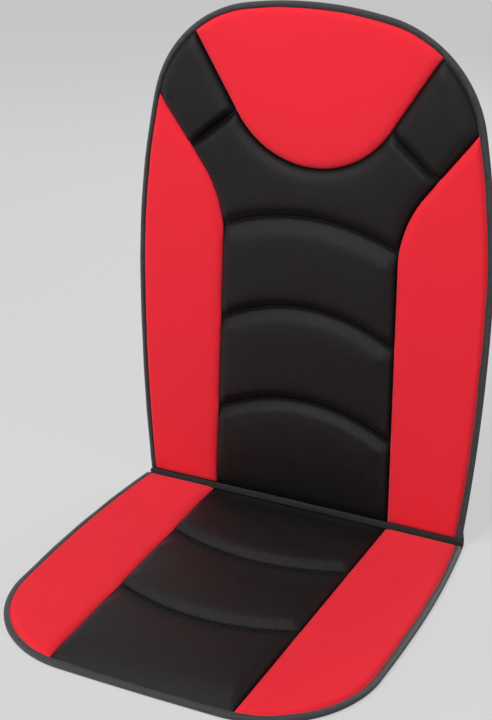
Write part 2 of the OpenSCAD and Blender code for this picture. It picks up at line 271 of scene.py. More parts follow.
def colour(red, green, blue):
    """A colour as it shows on a screen, from 0 to 255, as the light that it sends back."""
    def sent_back(shown):
        shown /= 255
        return shown / 12.92 if shown <= 0.04045 else ((shown + 0.055) / 1.055) ** 2.4

    return (sent_back(red), sent_back(green), sent_back(blue), 1.0)


def on_cloth(add):
    """A spot's place on the flat cloth, in its two directions, in metres."""
    place = add("ShaderNodeSeparateXYZ", {0: add("ShaderNodeUVMap", uv_map="cloth").outputs[0]})
    return place.outputs[0], place.outputs[1]


def wave(add, place, pitch):
    """A wave from -1 to 1 that repeats every pitch along one direction of the cloth."""
    turned = blend_of(add, place, 2 * pi / pitch, "MULTIPLY")
    return add("ShaderNodeMath", {0: turned}, operation="SINE").outputs[0]


def blend_of(add, a, b, how):
    return add("ShaderNodeMath", {0: a, 1: b}, operation=how).outputs[0]


def shade(add, surface, height, tone, dark, light, depth):
    """Colours a cloth from dark to light by tone and raises it by height."""
    ramp = add("ShaderNodeMapRange", {"Value": tone, "From Min": -1.0, "From Max": 1.0})
    mixed = add("ShaderNodeMix", {0: ramp.outputs[0], 6: dark, 7: light}, data_type="RGBA")
    bump = add("ShaderNodeBump", {"Height": height, "Distance": depth, "Strength": 1.0})
    surface.id_data.links.new(mixed.outputs[2], surface.inputs["Base Color"])
    surface.id_data.links.new(bump.outputs[0], surface.inputs["Normal"])


def lining_cloth():
    """Black non-woven cloth with a small pressed diamond pattern and loose fibres."""
    material, add, surface = cloth_nodes(
        "lining_cloth", roughness=0.92, specular=0.25,
        sheen=0.12, sheen_roughness=0.5, sheen_tint=(0.8, 0.8, 0.85, 1),
    )
    x, v = on_cloth(add)
    left = wave(add, blend_of(add, x, v, "ADD"), 3.4 * MM)
    right = wave(add, blend_of(add, x, v, "SUBTRACT"), 3.4 * MM)
    dots = blend_of(add, left, right, "MULTIPLY")
    fibres = add("ShaderNodeTexNoise", {"Scale": 700.0, "Detail": 3.0})
    cloudy = add("ShaderNodeTexNoise", {"Scale": 22.0, "Detail": 2.0})
    rough = blend_of(add, fibres.outputs[0], 1.4, "MULTIPLY")
    height = blend_of(add, dots, rough, "ADD")
    tone = blend_of(add, blend_of(add, height, cloudy.outputs[0], "ADD"), 1.2, "SUBTRACT")
    shade(add, surface, height, tone, colour(26, 26, 28), colour(44, 44, 47), 0.12 * MM)
    return material


line_step = 3 * MM


def bowed(at, bow, half):
    """A quilted line across a panel, bowed away from the fold in the middle."""
    x = np.linspace(-half, half, 160)
    return evenly(np.stack([x, at + bow * (1 - (x / half) ** 2)], 1), line_step)


def lining(node, arcs, quilting, place, material):
    """A lining: level with the tape inside it, one tape's thickness higher under it."""
    border = pad_edge(arcs, cut_inset, pad_start, 4 * MM)
    tape_line = pad_edge(arcs, tape_cover, pad_start, 4 * MM)
    lifted, tape_thickness, thickness = 0.15 * MM, 0.85 * MM, 0.6 * MM
    drawn_up, draw_reach = 1.1 * MM, 4.5 * MM
    sewn = [tape_line] + quilting
    flat, faces = cut_cloth(border, sewn, fine=4.5 * MM, coarse=11 * MM, band=9 * MM)
    under_tape = np.clip(to_line(flat, tape_line) / (1.5 * MM), 0, 1) * ~inside(flat, tape_line)
    low = lifted + tape_thickness * under_tape
    for line in quilting:
        low += drawn_up * np.exp(-((to_line(flat, line) / draw_reach) ** 2))
    wavy = np.sin(flat[:, 0] * 47) * np.sin(flat[:, 1] * 39 + 1) + np.sin(flat @ [83, 61])
    low += 0.07 * MM * (wavy + 2) * (1 - under_tape)
    points, solid = layered(flat, faces, low, low + thickness)
    made = piece(node + "_cloth", points, solid, place, np.tile(flat, (2, 1)), material)
    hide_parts(node)
    return made


seat_arcs = edge_arcs(
    width=503 * MM, taper=13.5 * MM, widest_at=208 * MM,
    side_r=2400 * MM, corner_r=147 * MM, end_r=6000 * MM, length=seat_length,
)
seat_seam_foot = 130 * MM
seat_seam_front = 122 * MM
channel_bow = 28 * MM


def seat_seam_x(v):
    return seat_seam_foot + (seat_seam_front - seat_seam_foot) * v / seat_length


seat_channels = [bowed(at, channel_bow, seat_seam_x(at)) for at in (128 * MM, 276 * MM)]
black_lining = lining_cloth()
seat_lining = lining("seat_lining", seat_arcs, seat_channels, on_seat, black_lining)
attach(seat_lining, "seat")


# Seat foam: a sheet of grey open-cell foam between the lining and the face, cut to the pad's outline
# and caught with them in the binding. It is pressed flat at the edge, where the tape is sewn down.
def foam_stuff():
    """Grey open-cell foam."""
    material, add, surface = cloth_nodes(
        "grey_foam", roughness=0.95, specular=0.2,
        sheen=0.0, sheen_roughness=0.5,
    )
    cells = add("ShaderNodeTexVoronoi", {"Scale": 900.0})
    cloudy = add("ShaderNodeTexNoise", {"Scale": 30.0})
    tone = blend_of(add, cells.outputs["Distance"], cloudy.outputs[0], "SUBTRACT")
    dark, light = colour(120, 120, 124), colour(160, 160, 164)
    shade(add, surface, cells.outputs["Distance"], tone, dark, light, 0.5 * MM)
    return material


def foam_sheet(node, arcs, place, material):
    """A foam sheet: thin at its edge, and rising to its full thickness in a quarter round."""
    border = pad_edge(arcs, cut_inset, pad_start, 5 * MM)
    underside, edge_thickness, rise, round_width = 3.2 * MM, 1.2 * MM, 0.8 * MM, 9 * MM
    flat, faces = cut_cloth(border, [], fine=5 * MM, coarse=14 * MM, band=11 * MM)
    edge = np.clip(to_line(flat, np.concatenate([border, border[:1]])) / round_width, 0, 1)
    low = np.full(len(flat), underside)
    high = low + edge_thickness + rise * np.sqrt(1 - (1 - edge) ** 2)
    points, solid = layered(flat, faces, low, high)
    made = piece(node.replace("sheet", "layer"), points, solid, place, np.tile(flat, (2, 1)), material)
    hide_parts(node)
    return made


grey_foam = foam_stuff()
seat_foam = foam_sheet("seat_foam_sheet", seat_arcs, on_seat, grey_foam)
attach(seat_foam, "seat")


# Seat face: a black quilted middle between two red sides, each backed with its own foam and joined by
# turned seams. Two bowed lines are sewn through the middle, so it swells into three cells.
panel_base = 5.4 * MM
rim_top = 6.6 * MM
sewn_dip = 0.8 * MM
sewn_level = rim_top - sewn_dip
red_crown = 4.6 * MM
black_crown = 10.5 * MM
face_inset = 6 * MM
# How the face falls to a sewn line: radius towards the fold, radius away from it, softness.
red_seam = (11 * MM, 11 * MM, 0.2)
red_tape_edge = (5.5 * MM, 5.5 * MM, 0.1)
red_fold_edge = (8 * MM, 8 * MM, 0.2)
black_seam = (15 * MM, 15 * MM, 0.3)
front_roll = (36 * MM, 36 * MM, 0)
black_fold_edge = (42 * MM, 42 * MM, 0.85)
channel_step = 18 * MM
channel_slope = 55 * MM
# Spacing of a face's points beside its sewn lines and away from them, and where the one ends.
face_cut = (2.6 * MM, 6 * MM, 15 * MM)


def red_knit():
    """Red warp-knit polyester with a short brushed nap: fine wales, cloudy where the nap lies over."""
    material, add, surface = cloth_nodes(
        "red_knit", roughness=0.88, specular=0.2,
        sheen=0.18, sheen_roughness=0.35, sheen_tint=(1.0, 0.55, 0.55, 1),
    )
    x, v = on_cloth(add)
    wales = wave(add, x, 1.3 * MM)
    courses = wave(add, v, 0.9 * MM)
    loops = blend_of(add, wales, courses, "MULTIPLY")
    knit = blend_of(add, wales, loops, "ADD")
    nap = add("ShaderNodeTexNoise", {"Scale": 620.0, "Detail": 4.0, "Roughness": 0.7})
    cloudy = add("ShaderNodeTexNoise", {"Scale": 16.0, "Detail": 3.0})
    height = blend_of(add, knit, blend_of(add, nap.outputs[0], 2.4, "MULTIPLY"), "ADD")
    lying = blend_of(add, blend_of(add, cloudy.outputs[0], 0.5, "SUBTRACT"), 1.2, "MULTIPLY")
    tone = blend_of(add, blend_of(add, knit, 0.35, "MULTIPLY"), lying, "ADD")
    shade(add, surface, height, tone, colour(228, 34, 48), colour(236, 42, 58), 0.08 * MM)
    return material


def black_rib():
    """Black woven polyester with fine ribs that run away from the fold, and a plain weave across.
    It has painted shade: darker and less glossy along its sewn lines and beside the fold, where shade
    falls."""
    material, add, surface = cloth_nodes(
        "black_rib", roughness=0.5, specular=0.19,
        sheen=0.03, sheen_roughness=0.4, sheen_tint=(0.95, 0.93, 0.95, 1),
    )
    x, v = on_cloth(add)
    ribs = wave(add, x, 2.8 * MM)
    warp = wave(add, x, 1.4 * MM)
    weft = wave(add, v, 1.1 * MM)
    weave = blend_of(add, warp, weft, "MULTIPLY")
    fibres = add("ShaderNodeTexNoise", {"Scale": 800.0, "Detail": 3.0})
    cloudy = add("ShaderNodeTexNoise", {"Scale": 14.0, "Detail": 2.0})
    height = blend_of(add, blend_of(add, ribs, weave, "ADD"), fibres.outputs[0], "ADD")
    lying = blend_of(add, blend_of(add, cloudy.outputs[0], 0.5, "SUBTRACT"), 2.0, "MULTIPLY")
    tone = blend_of(add, blend_of(add, height, 0.45, "MULTIPLY"), lying, "ADD")
    # Painted shade: a point attribute on the panels darkens the cloth and cuts its gloss near sewn lines
    # and the fold.
    painted_shade = add("ShaderNodeAttribute", attribute_name="painted_shade").outputs["Fac"]
    tone = blend_of(add, tone, blend_of(add, painted_shade, 1.6, "MULTIPLY"), "SUBTRACT")
    gloss = add("ShaderNodeMapRange", {"Value": painted_shade, "To Min": 0.19, "To Max": 0.02})
    surface.id_data.links.new(gloss.outputs[0], surface.inputs["Specular IOR Level"])
    shade(add, surface, height, tone, colour(9, 7, 8), colour(20, 17, 18), 0.08 * MM)
    return material


def rounded(distance, radius, soft):
    """Share of the full height at a distance from a sewn line: a quarter round, then level.
    Soft, from 0 to 1, opens the line into a valley with a round bottom."""
    t = np.clip(distance / radius, 0, 1)
    return (1 - soft) * np.sqrt(1 - (1 - t) ** 2) + soft * np.sin(t * pi / 2) ** 2


def face_height(flat, sewn, crown):
    """Level of a face panel over a flat cut: down at its sewn lines, full between them,
    and low enough beside the fold for the two pads to close on each other. Each sewn line
    has two radii, for the side towards the fold and the side away from it, and its softness."""
    share = np.ones(len(flat))
    for (away, beyond), towards_fold, from_fold, soft in sewn:
        share *= rounded(away, np.where(beyond < 0, towards_fold, from_fold), soft)
    level = sewn_level + (crown + sewn_dip) * share
    closing_gap, closing_slope, soft = 0.3 * MM, 0.108, 0.8 * MM
    room = fold_z - closing_gap + closing_slope * (flat[:, 1] - pad_start)
    return np.where(share > 0, level - soft * np.log1p(np.exp((level - room) / soft)), level)


def puckered(flat, sewn):
    """Small gathers that the thread draws in the cloth beside a sewn line."""
    gather, reach = 0.22 * MM, 3 * MM
    raised = np.zeros(len(flat))
    for i, ((away, _), *_) in enumerate(sewn):
        run = flat @ [610, 590] + 1.7 * np.sin(flat @ [71, -83] + i)
        raised += gather * np.sin(run) * (away / reach) * np.exp(1 - away / reach)
    return raised


def painted_shade_share(sewn, reach, depth=1.0):
    """Share of painted shade beside sewn lines: depth on a line, none at all past reach."""
    beside = np.clip(np.min([away for (away, _), *_ in sewn], axis=0) / reach, 0, 1)
    return depth * (1 - beside**2 * (3 - 2 * beside))


def face_panel(node, flat, faces, level, painted_shade, place, material, slot):
    """A padded face panel over its share of the pad's cut, closed below by a flat back."""
    used, faces = np.unique(faces, return_inverse=True)
    faces, flat, level, painted_shade = faces.reshape(-1, 3), flat[used], level[used], painted_shade[used]
    runs = open_edges(faces)
    rim = [i for run in runs for i in run]
    count = len(flat)
    points = np.concatenate([
        np.column_stack([flat, level]),
        np.column_stack([flat[rim], np.full(len(rim), panel_base)]),
    ])
    solid, first = faces.tolist(), count
    for run in runs:
        below = list(range(first, first + len(run)))
        solid.append(below[::-1])
        solid += [
            [run[(k + 1) % len(run)], run[k], below[k], below[(k + 1) % len(run)]]
            for k in range(len(run))
        ]
        first += len(run)
    made = piece(node.replace("panel", "cover"), points, solid, place, points[:, :2], material)
    # Painted shade: each point's share of the darkening near sewn lines and the fold, read by the black
    # cloth.
    depth = made.data.attributes.new("painted_shade", "FLOAT", "POINT")
    depth.data.foreach_set("value", np.concatenate([painted_shade, painted_shade[rim]]).astype(np.float32))
    held = level < rim_top + 0.15 * MM
    held[rim] = True
    group = made.vertex_groups.new(name="sewn")
    group.add(np.flatnonzero(held).tolist() + list(range(count, len(points))), 1.0, "REPLACE")
    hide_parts(node)
    return made


def blow_up(panels, crowns):
    """Fills the panels by cloth simulation, held where they are sewn, and keeps the swollen shape."""
    scene = bpy.context.scene
    steps, smoothings, most_swell = 12, 8, 0.12
    rest = {}
    for panel in panels:
        rest[panel.name] = np.array([p.co for p in panel.data.vertices])
        air = panel.modifiers.new("air", "CLOTH")
        air.settings.quality = 4
        air.settings.mass = 0.2
        air.settings.tension_stiffness = 12
        air.settings.compression_stiffness = 12
        air.settings.shear_stiffness = 5
        air.settings.bending_stiffness = 1.5
        air.settings.use_pressure = True
        air.settings.uniform_pressure_force = 4
        air.settings.vertex_group_mass = "sewn"
        air.settings.effector_weights.gravity = 0
        air.collision_settings.use_collision = False
        air.point_cache.frame_start, air.point_cache.frame_end = 1, steps
    for step in range(1, steps + 1):
        scene.frame_set(step)
    graph = bpy.context.evaluated_depsgraph_get()
    swollen = {p.name: np.array([q.co for q in p.evaluated_get(graph).data.vertices]) for p in panels}
    for panel, crown in zip(panels, crowns):
        most = most_swell * crown
        panel.modifiers.remove(panel.modifiers["air"])
        move = swollen[panel.name] - rest[panel.name]
        far = np.linalg.norm(move, axis=1)
        move *= np.minimum(1, most / np.maximum(far, 1e-9))[:, None]
        ends = np.array([e.vertices for e in panel.data.edges])
        joined = np.bincount(ends.ravel(), minlength=len(move))[:, None]
        for _ in range(smoothings):
            around = np.zeros_like(move)
            np.add.at(around, ends[:, 0], move[ends[:, 1]])
            np.add.at(around, ends[:, 1], move[ends[:, 0]])
            move = (move + around / joined) / 2 * (far > 1e-7)[:, None]
        panel.data.vertices.foreach_set("co", (rest[panel.name] + move).astype(np.float32).ravel())
        panel.data.update()
    scene.frame_set(1)


red = red_knit()
black = black_rib()
seat_border = pad_edge(seat_arcs, face_inset, pad_start, line_step)
seat_tape_line = pad_edge(seat_arcs, tape_cover, 0, line_step)
fold_line = evenly(np.array([[-0.25, pad_start], [0.25, pad_start]]), line_step)
seat_seam = evenly(np.array([[seat_seam_foot, 0], [seat_seam_front, seat_length]]), line_step)
seat_seams = [seat_seam, seat_seam * [-1, 1]]
seat_lines = seat_seams + seat_channels + [seat_tape_line]
seat_flat, seat_faces = cut_cloth(seat_border, seat_lines, *face_cut)
seat_middle = seat_flat[seat_faces].mean(1)
seat_tape, seat_fold = near(seat_flat, seat_tape_line), near(seat_flat, fold_line)
seat_panels = []
for node, side, cloth, slot in [
    ("seat_left_panel", 1, red, "red_fabric"),
    ("seat_right_panel", -1, red, "red_fabric"),
    ("seat_centre_panel", 0, black, "black_fabric"),
]:
    if side:
        mine = side * seat_middle[:, 0] > seat_seam_x(seat_middle[:, 1])
        sewn = [(near(seat_flat, seat_seam * [side, 1]), *red_seam)]
        edges = [(seat_tape, *red_tape_edge), (seat_fold, *red_fold_edge)]
        crown = red_crown
    else:
        mine = abs(seat_middle[:, 0]) < seat_seam_x(seat_middle[:, 1])
        sewn = [(near(seat_flat, line), *black_seam) for line in seat_seams]
        for line in seat_channels:
            beside = near(seat_flat, line)
            sewn.append((beside, channel_step, channel_slope, np.where(beside[1] < 0, 0.35, 0.9)))
        # The front rolls down to the tape in a long, low curve, so its fall counts twice.
        edges = 2 * [(seat_tape, *front_roll)] + [(seat_fold, *black_fold_edge)]
        crown = black_crown
    level = face_height(seat_flat, sewn + edges, crown) + puckered(seat_flat, sewn)
    level[~inside(seat_flat, seat_tape_line)] = sewn_level
    # Painted shade: darker within 4 mm of the sewn lines, and over 90 mm in front of the fold, where the
    # back shades the seat.
    painted_shade = np.maximum(painted_shade_share(sewn, reach=4 * MM), painted_shade_share(edges[-1:], reach=90 * MM, depth=0.9))
    seat_panels.append(
        face_panel(node, seat_flat, seat_faces[mine], level, painted_shade, on_seat, cloth, slot)
    )
blow_up(seat_panels, [red_crown, red_crown, black_crown])
for panel in seat_panels:
    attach(panel, "seat")


# Seat quilting: black polyester thread, a lockstitch along each channel, through the face, the foam
# and the lining, so that each line shows as a row of short stitches on both sides of the pad.
def thread_stuff(name, dark, light):
    """Spun polyester thread, twisted from three plies."""
    material, add, surface = cloth_nodes(
        name, roughness=0.6, specular=0.4,
        sheen=0.15, sheen_roughness=0.4,
    )
    plies = wave(add, blend_of(add, *on_cloth(add), "ADD"), 0.5 * MM)
    shade(add, surface, plies, plies, dark, light, 0.08 * MM)
    return material


def stitch_row(lines, length, pitch, thickness, up):
    """Points, faces and cloth places of a row of stitches along lines of [x, v, n] points."""
    along = np.array([-0.5, -0.44, -0.25, 0.25, 0.44, 0.5])
    girth = np.array([0.35, 0.8, 1.0, 1.0, 0.8, 0.35])
    dive = np.array([-0.9, -0.25, 0.1, 0.1, -0.25, -0.9])
    turns = np.arange(6) * pi / 3
    points, faces, uv = [], [], []
    for line in lines:
        spots = evenly(line, pitch)
        for k, (spot, way) in enumerate(zip(spots, heading(spots))):
            aside = np.cross(up, way)
            first = len(points)
            for a, g, d in zip(along, girth, dive):
                ring = spot + a * length * way + d * thickness / 2 * up
                for t in turns:
                    points.append(ring + g * thickness / 2 * (cos(t) * aside + sin(t) * up))
                    uv.append([k * pitch + a * length, t * thickness / 2])
            for r in range(5):
                for t in range(6):
                    u = (t + 1) % 6
                    base = first + 6 * r
                    faces.append([base + t, base + u, base + 6 + u, base + 6 + t])
            faces.append([first + t for t in range(5, -1, -1)])
            faces.append([first + 30 + t for t in range(6)])
    return np.array(points), faces, np.array(uv)


UP = np.array([0.0, 0.0, 1.0])


def level_line(line, n):
    return np.column_stack([line, np.full(len(line), n)])


def lockstitch(name, face_lines, rear_lines, size, place, material, body):
    """Thread sewn through a pad: rows of stitches on its face and on its lining.
    Size holds the length, the pitch and the thickness of a stitch."""
    face = stitch_row(face_lines, *size, UP)
    rear = stitch_row(rear_lines, *size, -UP)
    points = np.concatenate([face[0], rear[0]])
    faces = face[1] + [[i + len(face[0]) for i in f] for f in rear[1]]
    made = piece(name, points, faces, place, np.concatenate([face[2], rear[2]]), material)
    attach(made, body)


quilting_stitch = (3.2 * MM, 4 * MM, 0.7 * MM)


def quilting_thread(name, lines, place, body):
    on_face = [level_line(k, rim_top - 0.45 * MM) for k in lines]
    on_lining = [level_line(k, 1.2 * MM) for k in lines]
    lockstitch(name, on_face, on_lining, quilting_stitch, place, black_thread, body)


black_thread = thread_stuff("black_thread", colour(8, 7, 8), colour(22, 21, 22))
quilting_thread("seat_quilting_thread", seat_channels, on_seat, "seat")


# Seat binding: dark grey ribbed tape folded round the edge of face, foam and lining, and sewn down by
# one row of stitches through all of them. It runs from one end of the fold round to the other.
tape_start = 3.5 * MM
tape_stitch = (3.0 * MM, 4.2 * MM, 0.65 * MM)


def tape_stuff(name, dark, light, edge_shade):
    """Grosgrain tape: close ribs across it, with painted shade at its inner edge that lightens to where
    it folds round the edge.
    """
    material, add, surface = cloth_nodes(
        name, roughness=0.7, specular=0.3,
        sheen=0.3, sheen_roughness=0.35, sheen_tint=(0.95, 0.95, 1.0, 1),
    )
    along, across = on_cloth(add)
    ribs = wave(add, along, 1.1 * MM)
    threads = wave(add, across, 0.8 * MM)
    weave = blend_of(add, ribs, blend_of(add, threads, 0.35, "MULTIPLY"), "ADD")
    rubbed = add("ShaderNodeTexNoise", {"Scale": 60.0, "Detail": 3.0})
    worn = blend_of(add, blend_of(add, rubbed.outputs[0], 0.5, "SUBTRACT"), 2.0, "MULTIPLY")
    # Painted shade across the tape: darkest at its inner edge, beside the panel, and lighter over the
    # first 8 mm towards the folded edge.
    fold = add(
        "ShaderNodeMapRange",
        {0: across, 1: 0.5 * MM, 2: 8 * MM, 3: -1.0, 4: 1.0},
        interpolation_type="SMOOTHSTEP",
    )
    tone = blend_of(add, blend_of(add, weave, 0.25, "MULTIPLY"), worn, "ADD")
    tone = blend_of(add, tone, blend_of(add, fold.outputs[0], edge_shade, "MULTIPLY"), "ADD")
    shade(add, surface, weave, tone, dark, light, 0.15 * MM)
    return material


def swept(section, path, bend):
    """Points and faces of a closed section carried along a path. bend turns a section's
    [inset, level] points into [x, v, n] points at one place of the path."""
    rings = [bend(i, section) for i in range(len(path))]
    size = len(section)
    faces = [
        [size * i + k, size * i + (k + 1) % size, size * i + size + (k + 1) % size, size * i + size + k]
        for i in range(len(path) - 1)
        for k in range(size)
    ]
    faces.append(list(range(size - 1, -1, -1)))
    faces.append([size * (len(path) - 1) + k for k in range(size)])
    return np.concatenate(rings), faces


def tape_section():
    """The folded tape cut across, as [inset, level] points: its outside, then back along its inside."""
    outside = np.array([
        [8.3, 6.0], [7.9, 6.6], [6.9, 7.15], [5.3, 7.7], [3.3, 7.75], [1.5, 7.15], [0.5, 6.0],
        [0.05, 4.6], [0.0, 3.4], [0.2, 2.0], [0.8, 0.95], [2.0, 0.3], [3.6, 0.05], [5.6, 0.0],
        [7.4, 0.05], [8.1, 0.2], [8.3, 0.75],
    ])
    back = np.array([
        [7.4, 0.85], [5.6, 0.85], [3.6, 0.95], [2.3, 1.2], [1.4, 1.9], [0.95, 3.0], [0.95, 4.6],
        [1.4, 5.7], [2.4, 6.4], [3.5, 6.75], [5.1, 6.7], [6.6, 6.2], [7.4, 5.95],
    ])
    return np.concatenate([outside, back]) * MM


def binding(node, arcs, place, body):
    """The tape round one pad, with its stitches on the face and on the lining."""
    step = 4 * MM
    path = pad_edge(arcs, 0, tape_start, step)
    inward = square_to(path)
    far = np.arange(len(path)) * step
    sway = 0.45 * MM * (np.sin(far * 61) * 0.6 + np.sin(far * 23 + 2) + np.sin(far * 137 + 1) * 0.3)
    lift = 0.20 * MM * (np.sin(far * 83 + 0.5) + np.sin(far * 37))
    section = tape_section()

    def bend(i, cut):
        flat = path[i] + np.outer(cut[:, 0] + sway[i] * (cut[:, 0] > 5 * MM), inward[i])
        raised = cut[:, 1] + lift[i] * np.clip(cut[:, 1] / (6 * MM), 0, 1)
        return np.column_stack([flat, raised])

    points, faces = swept(section, path, bend)
    uv = np.array([[s, g] for s in far for g in run_along(section)])
    made = piece(node.replace("binding", "tape"), points, faces, place, uv, grey_tape)
    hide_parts(node)
    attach(made, body)
    row = path + (6.1 * MM + sway)[:, None] * inward
    on_face = [np.column_stack([row, 7.45 * MM + lift])]
    on_lining = [level_line(row, 0.0)]
    lockstitch(body + "_edge_thread", on_face, on_lining, tape_stitch, place, grey_thread, body)


# The edge tape carries painted shade at its inner edge, lightening towards its folded edge.
grey_tape = tape_stuff("grey_tape", colour(22, 20, 21), colour(66, 64, 66), edge_shade=0.7)
grey_thread = thread_stuff("grey_thread", colour(22, 21, 22), colour(52, 50, 51))
binding("seat_edge_binding", seat_arcs, on_seat, "seat")


# Back lining: the same black non-woven cloth behind the back pad, cut to its taller outline with the
# round head. It is drawn in where the arches and the shoulder lines are sewn through.
back_length = 688 * MM
back_lean = radians(3)


def on_back(p):
    v, n = p[:, 1], p[:, 2] - fold_z
    y = fold_y + v * sin(back_lean) - n * cos(back_lean)
    z = fold_z + v * cos(back_lean) + n * sin(back_lean)
    return np.stack([p[:, 0], y, z], 1)


back_arcs = edge_arcs(
    width=502 * MM, taper=17 * MM, widest_at=318 * MM,
    side_r=1150 * MM, corner_r=164 * MM, end_r=520 * MM, length=back_length,
)
back_seam_foot = 129.5 * MM
back_seam_waist = 123.5 * MM
back_seam_turn_drop = 181 * MM
back_seam_radius = 160 * MM
head_height = 209 * MM
head_radius = 123 * MM
head_corner_angle = radians(50)
yoke_depth = 94 * MM
upper_cell_gain = 4.6 * MM
arch_rise = 27 * MM
lumbar_rise = 35.5 * MM
shoulder_line_drop = 63 * MM
shoulder_line_top = 107 * MM


def on_arc(arc, angle, inset):
    return arc[0] + (arc[1] - inset) * np.array([cos(angle), sin(angle)])


back_tip = on_arc(back_arcs[1], back_arcs[1][2], tape_cover)
turn_at = back_tip[1] - back_seam_turn_drop
turn_middle = np.array([back_seam_waist + back_seam_radius, turn_at])
tip_reach = back_tip - turn_middle
turn_last = atan2(tip_reach[1], tip_reach[0]) + acos(back_seam_radius / hypot(*tip_reach))
turn_end = turn_middle + back_seam_radius * np.array([cos(turn_last), sin(turn_last)])


def back_seam_x(v):
    """Half width of the black middle: a slow taper, a turn outwards, then a line to the tip."""
    v = np.asarray(v, float)
    low = back_seam_foot + (back_seam_waist - back_seam_foot) * v / turn_at
    rise = np.clip(v - turn_at, 0, back_seam_radius)
    turn = turn_middle[0] - np.sqrt(back_seam_radius**2 - rise**2)
    run, climb = back_tip - turn_end
    line = turn_end[0] + run * (v - turn_end[1]) / climb
    return np.where(v <= turn_at, low, np.where(v <= turn_end[1], turn, line))


head_corner = on_arc(back_arcs[2], head_corner_angle, tape_cover)
head_bottom = back_length - head_height
head_middle = np.array([0, head_bottom + head_radius])
head_reach = head_corner - head_middle
head_last = atan2(head_reach[1], head_reach[0]) - acos(head_radius / hypot(*head_reach))
head_turn = head_middle + head_radius * np.array([cos(head_last), sin(head_last)])


def head_edge_v(x):
    """Lower edge of the head panel: an arc, then a line to each corner."""
    x = np.abs(np.asarray(x, float))
    arc = head_middle[1] - np.sqrt(head_radius**2 - np.minimum(x, head_turn[0]) ** 2)
    slope = (head_corner[1] - head_turn[1]) / (head_corner[0] - head_turn[0])
    return np.where(x <= head_turn[0], arc, head_turn[1] + slope * (x - head_turn[0]))


yoke_at = head_bottom - yoke_depth
shoulder_at = back_tip[1] - shoulder_line_drop
arch_ends = [yoke_at * i / 3 - upper_cell_gain * (3 - i) for i in (1, 2, 3)]
arches = [
    bowed(at, rise, float(back_seam_x(at)))
    for at, rise in zip(arch_ends, (lumbar_rise, lumbar_rise, arch_rise))
]
shoulder_foot = [float(back_seam_x(shoulder_at)), shoulder_at]
shoulder_head = [shoulder_line_top, float(head_edge_v(shoulder_line_top))]
shoulder_line = evenly(np.array([shoulder_foot, shoulder_head]), line_step)
shoulder_lines = [shoulder_line, shoulder_line * [-1, 1]]
back_quilting = arches + shoulder_lines
back_lining = lining("back_lining", back_arcs, back_quilting, on_back, black_lining)
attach(back_lining, "back")


# Back foam: the same grey foam sheet between the lining and the face of the back pad, cut to its
# outline and pressed flat under the tape.
back_foam = foam_sheet("back_foam_sheet", back_arcs, on_back, grey_foam)
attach(back_foam, "back")


# Back face: a red head panel, a black yoke that reaches up to both shoulders, a black lumbar panel of
# three cells, and two long red sides, each foam-backed and joined to its neighbours by turned seams.
head_edge = (17 * MM, 17 * MM, 0.3)
shoulder_round = (11 * MM, 11 * MM, 0.8)
arch_below = (15 * MM, 18 * MM, 25 * MM)
arch_above = (17 * MM, 17 * MM, 18 * MM)
lumbar_fold_edge = (26 * MM, 26 * MM, 0.8)
past_tip = 6 * MM
back_border = pad_edge(back_arcs, face_inset, pad_start, line_step)
back_tape_line = pad_edge(back_arcs, tape_cover, 0, line_step)
levels = np.linspace(0, back_tip[1] + past_tip, 400)
side_seam = evenly(np.stack([back_seam_x(levels), levels], 1), line_step)
side_seams = [side_seam, side_seam * [-1, 1]]
across = np.linspace(-head_corner[0] - past_tip, head_corner[0] + past_tip, 400)
head_seam = evenly(np.stack([across, head_edge_v(across)], 1), line_step)
back_lines = side_seams + [head_seam] + back_quilting + [back_tape_line]
back_flat, back_faces = cut_cloth(back_border, back_lines, *face_cut)
spot = back_flat[back_faces].mean(1)
is_side = abs(spot[:, 0]) > back_seam_x(spot[:, 1])
is_head = ~is_side & (spot[:, 1] > head_edge_v(spot[:, 0]))
yoke_half = float(back_seam_x(yoke_at))
top_arch_v = yoke_at + arch_rise * (1 - (spot[:, 0] / yoke_half) ** 2)
is_yoke = ~is_side & ~is_head & (spot[:, 1] > top_arch_v)
is_lumbar = ~is_side & ~is_head & ~is_yoke
left_seam, right_seam = near(back_flat, side_seams[1]), near(back_flat, side_seams[0])
under_head = near(back_flat, head_seam)
back_tape, back_fold = near(back_flat, back_tape_line), near(back_flat, fold_line)
arch_lines = [
    (near(back_flat, arch), below, above, 1.0)
    for arch, below, above in zip(arches, arch_below, arch_above)
]
shoulders = [(near(back_flat, line), *shoulder_round) for line in shoulder_lines]
black_sides = [(left_seam, *black_seam), (right_seam, *black_seam)]
red_edges = [(back_tape, *red_tape_edge), (back_fold, *red_fold_edge)]
black_edges = [(back_tape, *black_seam), (back_fold, *lumbar_fold_edge)]
in_red = (red_edges, red_crown, red, "red_fabric")
in_black = (black_edges, black_crown, black, "black_fabric")
yoke_lines = black_sides + [(under_head, *head_edge), arch_lines[2]] + shoulders
back_panels = []
for node, mine, sewn, (edges, crown, cloth, slot) in [
    ("back_left_panel", is_side & (spot[:, 0] < 0), [(left_seam, *red_seam)], in_red),
    ("back_right_panel", is_side & (spot[:, 0] > 0), [(right_seam, *red_seam)], in_red),
    ("back_head_panel", is_head, [(under_head, *red_seam)], in_red),
    ("back_yoke_panel", is_yoke, yoke_lines, in_black),
    ("back_lumbar_panel", is_lumbar, black_sides + arch_lines, in_black),
]:
    level = face_height(back_flat, sewn + edges, crown) + puckered(back_flat, sewn)
    level[~inside(back_flat, back_tape_line)] = sewn_level
    # Painted shade: darker within 7 mm of the sewn lines, and within 16 mm above the fold, in the corner
    # between the pads.
    painted_shade = np.maximum(painted_shade_share(sewn, reach=7 * MM), painted_shade_share(edges[-1:], reach=16 * MM, depth=0.8))
    back_panels.append(
        face_panel(node, back_flat, back_faces[mine], level, painted_shade, on_back, cloth, slot)
    )
